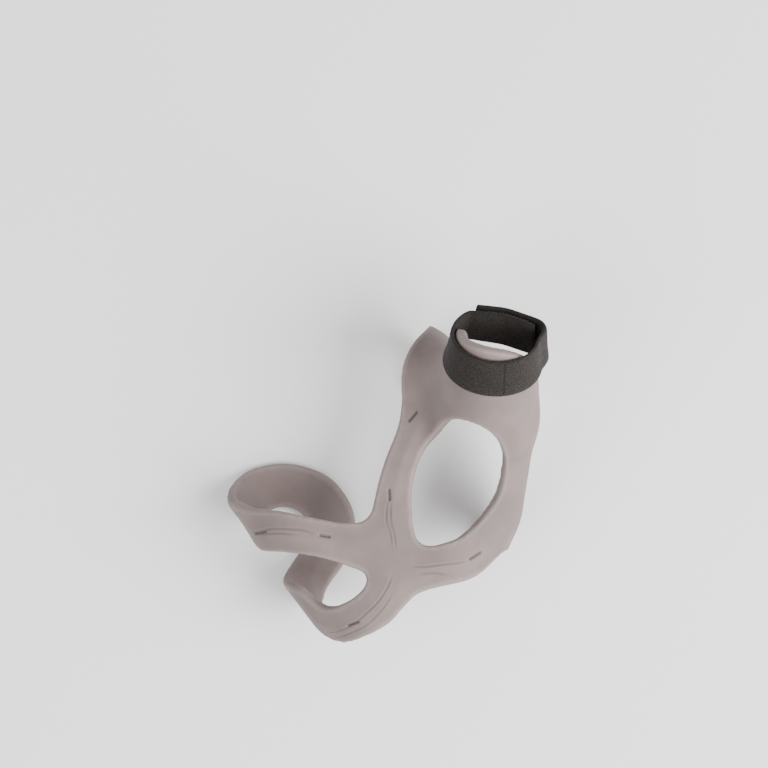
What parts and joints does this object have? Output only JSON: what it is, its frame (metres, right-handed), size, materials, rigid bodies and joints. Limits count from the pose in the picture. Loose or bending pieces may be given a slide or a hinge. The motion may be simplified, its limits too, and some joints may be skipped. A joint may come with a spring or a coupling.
{
  "type": "thumb and wrist support",
  "caption": "Slip-on moulded support that hooks round the palm and the base of the thumb, with open windows and a strap that closes round the thumb.",
  "frame": {"origin": "bottom centre of the support's box, as it lies on its back with the palm side up", "axes": "+X towards the thumb's side, +Y from the wrist towards the fingers, +Z out of the palm"},
  "size_m": [0.0974, 0.102, 0.0676],
  "materials": {
    "soft_touch_grey": "matt, soft to the touch",
    "charcoal_loop_fabric": "brushed loop fabric",
    "charcoal_hook_tape": "hook tape"
  },
  "bodies": {
    "root": {"splint_shell": "soft_touch_grey", "thumb_strap": "charcoal_loop_fabric", "hook_patch": "charcoal_hook_tape"}
  },
  "joints": []
}
